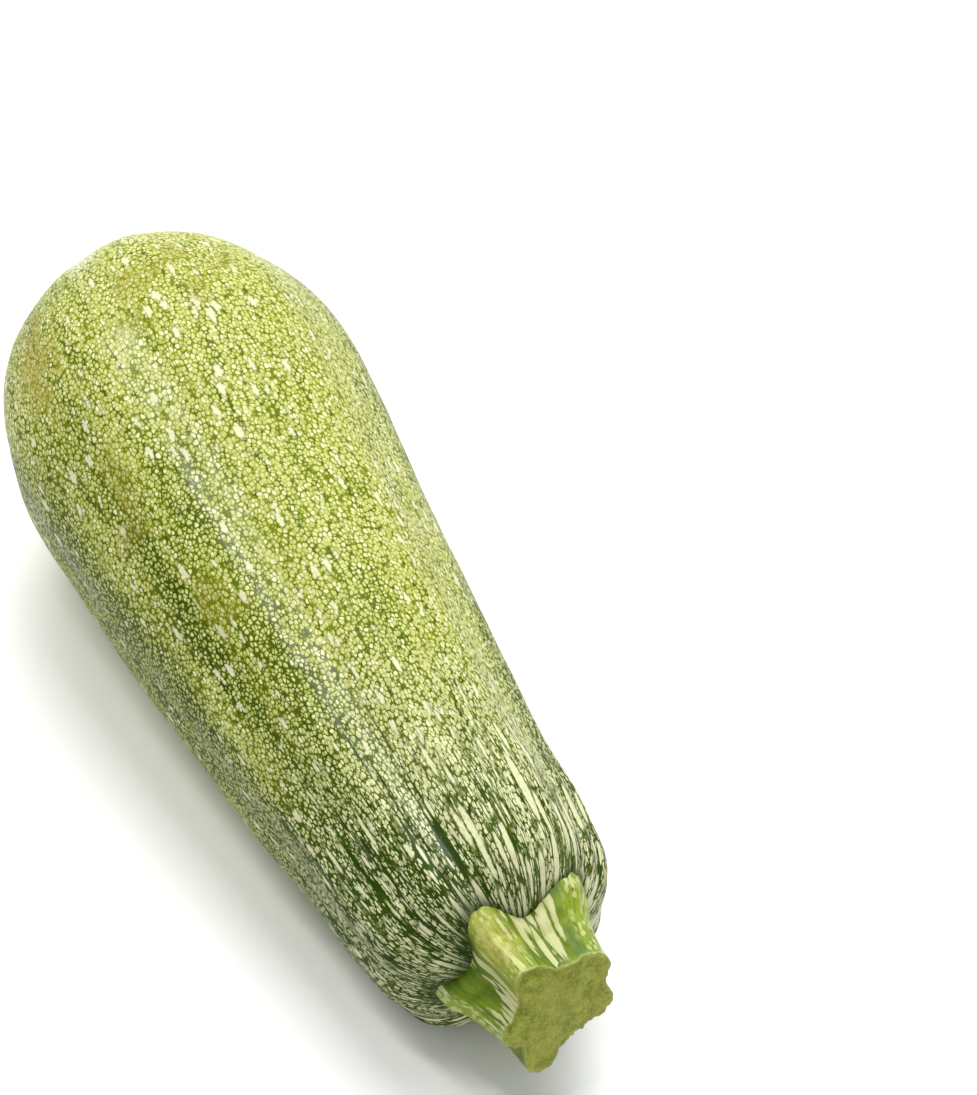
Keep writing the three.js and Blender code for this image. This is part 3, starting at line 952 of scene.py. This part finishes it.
def stem_side_colour(tree, place, ridge, up):
    crest = step_between(tree, ridge, 0.6, 0.98)
    green = stem_green(tree, place, ridge, crest, up)
    side = mix(tree, times(tree, stem_streaks(tree, place, ridge, crest), 0.82), green, STEM_STREAK)
    net_cell = cells(tree, warped(tree, drawn_out(tree, place, 0.5), 0.9, 0.25), STEM_NET_SPACING)
    netting = times(tree, step_between(tree, net_cell.outputs["Distance"], 0.5, 0.3), crest)
    side = mix(tree, times(tree, netting, 0.65), side, STEM_NET)
    scuffs = step_between(tree, noise(tree, place, STEM_SCUFF_SPACING, 4.0, 0.6), 0.68, 0.8)
    scuffs = larger(tree, scuffs, attribute(tree, "worn"))
    scuff_grain = noise(tree, drawn_out(tree, place, 0.4), STEM_SCUFF_GRAIN_SPACING, 4.0, 0.65)
    worn = mix(tree, step_between(tree, scuff_grain, 0.34, 0.54), STEM_WORN_BROWN, STEM_WORN_PALE)
    return mix(tree, times(tree, scuffs, 0.65), side, worn)


def stem_cut_colour(tree, place, cut, grain, speckle):
    """The cut face: olive clouds, greener at the edge, with pale and dark speckles and brown spots."""
    face = mix(tree, step_between(tree, grain, 0.34, 0.66), CUT_OLIVE, CUT_PALE_OLIVE)
    clouds = noise(tree, place, CUT_CLOUD_SPACING, 3.0)
    green_edge = times(tree, step_between(tree, cut, 1.35, 1.05), step_between(tree, clouds, 0.42, 0.56))
    face = mix(tree, times(tree, green_edge, 0.5), face, CUT_GREEN_EDGE)
    face = mix(tree, step_between(tree, clouds, 0.42, 0.62, 0.0, 0.6), face, CUT_CLOUD)
    face = mix(tree, times(tree, step_between(tree, cut, 1.45, 2.0), 0.3), face, CUT_MIDDLE)
    face = mix(tree, step_between(tree, speckle, 0.5, 0.66, 0.0, 0.55), face, CUT_PALE_SPECKLE)
    face = mix(tree, step_between(tree, speckle, 0.46, 0.34, 0.0, 0.5), face, CUT_DARK_SPECKLE)
    spots = step_between(tree, noise(tree, place, CUT_SPOT_SPACING, 2.0), 0.66, 0.74)
    return mix(tree, times(tree, spots, 0.4), face, CUT_SPOT)


def stem_material():
    """The stem's sides and cut face. The cut attribute is 0 on the sides, and 1 to 2 inwards on the face."""
    material, tree = new_material("squash_stem")
    place = attribute(tree, "stemwise", "Vector")
    up = attribute(tree, "up")
    cut = attribute(tree, "cut")
    on_cut = step_between(tree, cut, 0.98, 1.02)
    grain = noise(tree, place, CUT_GRAIN_SPACING, 4.0, 0.55)
    speckle = noise(tree, place, CUT_SPECKLE_SPACING, 4.0, 0.7)

    side = stem_side_colour(tree, place, attribute(tree, "ridge"), up)
    colour = mix(tree, on_cut, side, stem_cut_colour(tree, place, cut, grain, speckle))
    rim = times(tree, step_between(tree, up, 0.93, 1.0), step_between(tree, cut, 1.1, 1.0))
    colour = mix(tree, times(tree, rim, 0.45), colour, CUT_RIM)

    fibres = noise(tree, drawn_out(tree, place, 0.15), STEM_FIBRE_SPACING, 3.0)
    height = blend_numbers(tree, on_cut, fibres, plus(tree, grain, times(tree, speckle, 0.8)))
    roughness = blend_numbers(tree, on_cut, 0.42, 0.5)
    finish_material(tree, colour, height, STEM_BUMP, roughness, **{"Specular IOR Level": 0.2})
    return material


# The meshes, with the values that their materials read

def feature_share(features, length, angle):
    """How much each place of the skin is within the listed features, from -1 to 1."""
    share = np.zeros_like(length)
    for middle, turn_deg, half_length, half_width_deg, strength in features:
        along = (length - middle) / half_length
        turn = away_from(angle, turn_deg) / math.radians(half_width_deg)
        share = share + strength * np.exp(-along ** 2 - turn ** 2)
    return np.clip(share, -1, 1)


def fruit_stations():
    """Stations of the fruit's rings, from the blossom end's pole to the pole under the stem."""
    scar_share = (SCAR_RADIUS / GIRTH_RADIUS) ** (BLOSSOM_ROUNDNESS / 2)
    scar_edge = math.asin(scar_share) / (math.pi / 2)
    zone_end = SCAR_ZONE * scar_edge
    return np.concatenate([
        np.linspace(0, zone_end, SCAR_RINGS, endpoint=False)[1:],
        np.linspace(zone_end, 1, BLOSSOM_RINGS, endpoint=False),
        np.linspace(1, 2, BODY_RINGS, endpoint=False),
        2 + np.linspace(0, 1, SHOULDER_RINGS, endpoint=False) ** SHOULDER_RING_POWER,
    ])


def skin_length(station, s, radius):
    """Distance along the skin in mm: as the crow flies on the blossom dome, then over the surface."""
    travel = np.zeros_like(s)
    travel[1:] = np.cumsum(np.hypot(np.diff(s, axis=0), np.diff(radius, axis=0)), 0)
    dome_end = int(np.argmax(station[:, 0] >= 1))
    return np.where(station < 1, s, s[dome_end] + travel - travel[dome_end])


def mosaic_place(station, angle, s, reach, length):
    """Where each place of the skin lies in the pattern of cells."""
    held_radius = tapered_radius(s[station[:, 0].searchsorted(HELD_FROM_STATION)])
    radius = np.where(station < HELD_FROM_STATION, reach, np.maximum(reach, held_radius))
    radius = radius * (1 + CELL_NARROWING * smooth(NARROWING_FROM, STRETCH_FULL_AT, length))
    stretch = CELL_STRETCH + CELL_STRETCH_GAIN * smooth(STRETCH_FROM, STRETCH_FULL_AT, length)
    shortened = np.zeros_like(length)
    shortened[1:] = np.cumsum(np.diff(length, axis=0) / stretch[1:], 0)
    shortened = shortened + length[0] / CELL_STRETCH
    return np.stack([radius * np.cos(angle), radius * np.sin(angle), shortened], -1)


def foot_shade(station, rings):
    """Painted shade: 1 under the stem's foot, fading over the skin round it."""
    y = rings[..., 1] - axis_sideways(FRUIT_LENGTH)
    up = rings[..., 2] - axis_height(FRUIT_LENGTH) - STEM_OFFSET_UP
    angle = np.arctan2(y, up)
    from_broad = away_from(angle, FOOT_SHADE_BROAD_AT_DEG) / math.radians(FOOT_SHADE_BROAD_DEG)
    width = FOOT_SHADE_WIDTH + FOOT_SHADE_BROADER * np.exp(-from_broad ** 2)
    from_foot = np.hypot(y, up) - foot_radius(angle)
    return np.where(station > 2, 1 - smooth(0, 1, from_foot / width), 0)


def crest_polish(angle):
    """How smooth the skin is rubbed: most on one crest of the broad ribs."""
    from_crest = away_from(angle, POLISHED_CREST_DEG)
    most_polished = np.exp(-(from_crest / math.radians(POLISHED_WIDTH_DEG)) ** 2)
    on_crest = smooth(CREST_STARTS_AT, 1, np.cos(BROAD_RIB_COUNT * from_crest))
    return np.clip(on_crest * (OTHER_CRESTS_POLISH + most_polished), 0, 1)


def make_fruit_mesh():
    """The fruit's fine mesh. Rings start at the belly, so that the unwrap's seam lies under the fruit."""
    angles = -math.pi + 2 * math.pi * np.arange(FRUIT_SIDES) / FRUIT_SIDES
    station, angle = np.meshgrid(fruit_stations(), angles, indexing="ij")
    rings = skin_points(station, angle)
    first = skin_points(np.array(0.0), np.array(0.0))
    last = skin_points(np.array(3.0), np.array(0.0))
    mesh = closed_mesh("fruit_skin", rings, first, last)

    s, radius = skin_station(station)
    reach = np.hypot(rings[..., 1] - axis_sideways(s), rings[..., 2] - axis_height(s))
    length = skin_length(station, s, radius)
    skin = mosaic_place(station, angle, s, reach, length)
    girdle = np.stack([GIRDLE_RADIUS * np.cos(angle), GIRDLE_RADIUS * np.sin(angle), length], -1)
    scar = 1 - smooth(SCAR_RADIUS - CORK_EDGE_INSIDE, SCAR_RADIUS + CORK_EDGE_OUTSIDE, radius)

    def store(name, values, at_first, at_last):
        flat = values.reshape(-1, *values.shape[2:])
        set_attribute(mesh, name, np.concatenate([[at_first], flat, [at_last]]))

    store("skin", skin, (0, 0, 0), (0, 0, skin[..., 2].max()))
    store("girdle", girdle, (0, 0, 0), (0, 0, length.max()))
    store("along", length / length.max(), 0, 1)
    store("scar", np.where(station < 1, scar, 0), 1, 0)
    # Darker and lighter places, partly the skin's own bands and partly painted shade and light
    store("dark", feature_share(BANDS_AND_PAINTED_SHADING, length, angle), 0, 0)
    store("olive", feature_share(OLIVE_AREAS, length, angle), 0, 0)
    store("scuff", feature_share(SCUFFED_AREAS, length, angle), 0, 0)
    # Painted shade round the stem's foot
    store("foot", foot_shade(station, rings), 0, 1)
    store("polish", crest_polish(angle), 0, 0)
    return mesh


def make_stem_mesh():
    """The stem's fine mesh: rings over its underside, up its sides and inwards over its cut face."""
    angles = -math.pi + 2 * math.pi * np.arange(STEM_SIDES) / STEM_SIDES
    rings = []
    ups = []
    cuts = []
    for i in range(1, STEM_FOOT_RINGS + 1):
        reach = i / (STEM_FOOT_RINGS + 1) * foot_radius(angles)
        skin = skin_under_stem(reach, angles)
        rings.append(stem_points(skin[..., 0] - FOOT_SUNK, reach, angles))
        ups.append(0)
        cuts.append(0)
    for i in range(STEM_SIDE_RINGS + 1):
        rings.append(stem_side(np.full_like(angles, i / STEM_SIDE_RINGS), angles))
        ups.append(i / STEM_SIDE_RINGS)
        cuts.append(0 if i < STEM_SIDE_RINGS else 1)
    for i in range(1, STEM_CUT_RINGS + 1):
        inward = i / (STEM_CUT_RINGS + 1)
        rings.append(stem_cut(np.full_like(angles, inward), angles))
        ups.append(1)
        cuts.append(1 + inward)
    rings = np.array(rings)
    reach = np.array([0.0])
    first = stem_points(skin_under_stem(reach, reach)[0, 0] - FOOT_SUNK, 0.0, 0.0)
    last = stem_cut(np.array(1.0), np.array(0.0))
    mesh = closed_mesh("stem_stub", rings, first, last)

    ups = np.array(ups)[:, None]
    cuts = np.array(cuts)[:, None]
    reach = (2 - np.maximum(1, cuts)) * cut_radius(angles)
    stemwise = np.stack([reach * np.cos(angles), reach * np.sin(angles), rings[..., 0] - FRUIT_LENGTH], -1)
    from_worn = away_from(angles, WORN_RIDGE_DEG) / math.radians(WORN_WIDTH_DEG)
    worn = np.exp(-from_worn ** 2) * np.exp(-((ups - WORN_MIDDLE) / WORN_HALF_LENGTH) ** 2)

    def store(name, values, at_first, at_last):
        flat = np.broadcast_to(values, rings.shape[:2]).ravel()
        set_attribute(mesh, name, np.concatenate([[at_first], flat, [at_last]]))

    stemwise = np.vstack([[(0, 0, -UNDERSIDE_DEPTH)], stemwise.reshape(-1, 3), [(0, 0, STEM_HEIGHT)]])
    set_attribute(mesh, "stemwise", stemwise)
    store("up", ups, 0, 1)
    store("cut", cuts, 0, 2)
    store("ridge", ridge_share(angles), 0, 0)
    store("worn", worn, 0, 0)
    return mesh


def plain_shift():
    """How far the part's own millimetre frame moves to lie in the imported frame, in metres."""
    stations = np.linspace(0, 3, BOX_STATIONS)
    angles = np.linspace(-math.pi, math.pi, BOX_SIDES)
    station, angle = np.meshgrid(stations, angles, indexing="ij")
    points = skin_points(station, angle, fine=False) * MM
    low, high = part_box("fruit")
    own_low = points.reshape(-1, 3).min(0)
    own_high = points.reshape(-1, 3).max(0)
    shift = (np.array(low) + np.array(high)) / 2 - (own_low + own_high) / 2
    shift[2] = low[2] - own_low[2]
    return shift


def add_camera():
    turn = math.radians(CAMERA_TURN_DEG)
    rise = math.radians(CAMERA_RISE_DEG)
    back = Vector((math.cos(turn) * math.cos(rise), math.sin(turn) * math.cos(rise), math.sin(rise)))
    data = bpy.data.cameras.new("camera")
    data.sensor_fit = "VERTICAL"
    data.sensor_height = SENSOR_HEIGHT_MM
    data.lens = FOCAL_PIXELS / PHOTO_SIZE[1] * SENSOR_HEIGHT_MM
    data.clip_start = 0.01
    data.clip_end = 20
    camera = bpy.data.objects.new("camera", data)
    camera.location = CAMERA_TARGET + back * CAMERA_DISTANCE
    camera.rotation_euler = back.to_track_quat("Z", "Y").to_euler()
    bpy.context.collection.objects.link(camera)
    bpy.context.scene.camera = camera


def add_soft_light(name, place_at, aim_at, size, power, colour, long_way):
    data = bpy.data.lights.new(name, "AREA")
    data.shape = "RECTANGLE"
    data.size = size[0]
    data.size_y = size[1]
    data.energy = power
    data.color = colour
    light = bpy.data.objects.new(name, data)
    light.location = place_at
    back = (Vector(place_at) - Vector(aim_at)).normalized()
    across = Vector(long_way)
    across = (across - back * across.dot(back)).normalized()
    light.rotation_euler = Matrix((across, back.cross(across), back)).transposed().to_euler()
    bpy.context.collection.objects.link(light)


def add_floor():
    half = FLOOR_HALF_SIZE
    corners = [(-half, -half, 0), (half, -half, 0), (half, half, 0), (-half, half, 0)]
    mesh = bpy.data.meshes.new("floor")
    mesh.from_pydata(corners, [], [(0, 1, 2, 3)])
    floor = bpy.data.objects.new("floor", mesh)
    bpy.context.collection.objects.link(floor)
    material, tree = new_material("pale_floor")
    surface = add_node(tree, "ShaderNodeBsdfPrincipled", {
        "Base Color": FLOOR_COLOUR, "Roughness": FLOOR_ROUGHNESS,
    })
    add_node(tree, "ShaderNodeOutputMaterial", {"Surface": surface.outputs[0]})
    mesh.materials.append(material)


def add_world():
    world = bpy.data.worlds.new("studio")
    world.use_nodes = True
    background = world.node_tree.nodes["Background"]
    background.inputs["Color"].default_value = SKY_COLOUR
    background.inputs["Strength"].default_value = SKY_STRENGTH
    bpy.context.scene.world = world


add_camera()
shift = plain_shift()
make_piece(make_fruit_mesh(), "fruit", skin_material(), shift)
make_piece(make_stem_mesh(), "stem", stem_material(), shift)
add_floor()
add_world()
for light in LIGHTS:
    add_soft_light(*light)

bpy.context.scene.view_settings.view_transform = "Standard"
